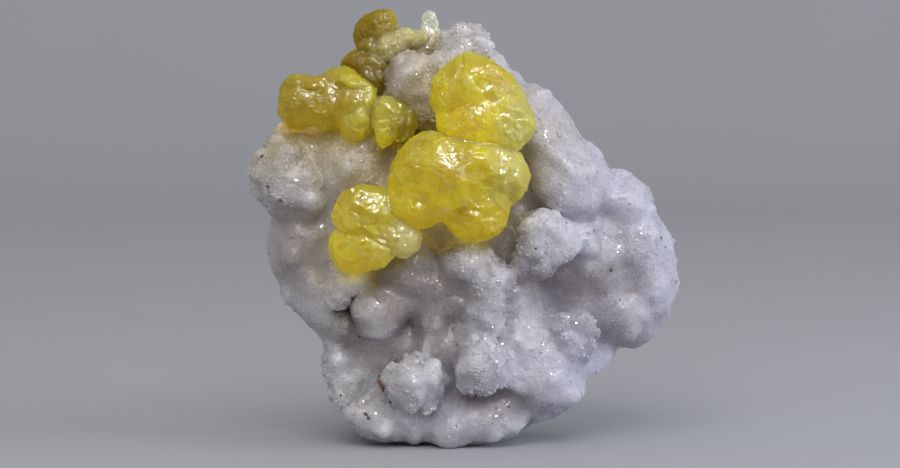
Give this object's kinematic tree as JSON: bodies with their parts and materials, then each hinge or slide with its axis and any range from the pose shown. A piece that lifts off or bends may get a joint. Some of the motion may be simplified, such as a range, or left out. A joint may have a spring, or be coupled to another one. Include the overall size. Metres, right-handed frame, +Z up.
{
  "type": "brucite crystal specimen",
  "caption": "Loose mineral specimen: rounded yellow brucite crystals grown on a lumpy white rock, standing on its broken foot.",
  "frame": {"origin": "a point near the middle of the flat broken foot, on the surface that the specimen stands on", "axes": "+Z up, the yellow crystals face -Y, +X to the right seen from the front, and the specimen is thinnest along Y"},
  "size_m": [0.0649, 0.0335, 0.0646],
  "materials": {
    "white_rock": "sugary white rock, dull with fine sparkles, faintly lavender, grey-brown in its hollows",
    "lemon_brucite": "waxy lemon-yellow crystal, translucent, with pearly veils and paler rims",
    "olive_brucite": "waxy olive-yellow crystal, translucent, cream and granular at its foot",
    "clear_crystal": "clear, faintly yellow-green crystal"
  },
  "bodies": {
    "root": {"white_matrix": "white_rock", "brucite_main_cluster": "lemon_brucite", "brucite_left_cluster": "lemon_brucite", "brucite_top_cluster": "olive_brucite", "clear_knob": "clear_crystal"}
  },
  "joints": []
}
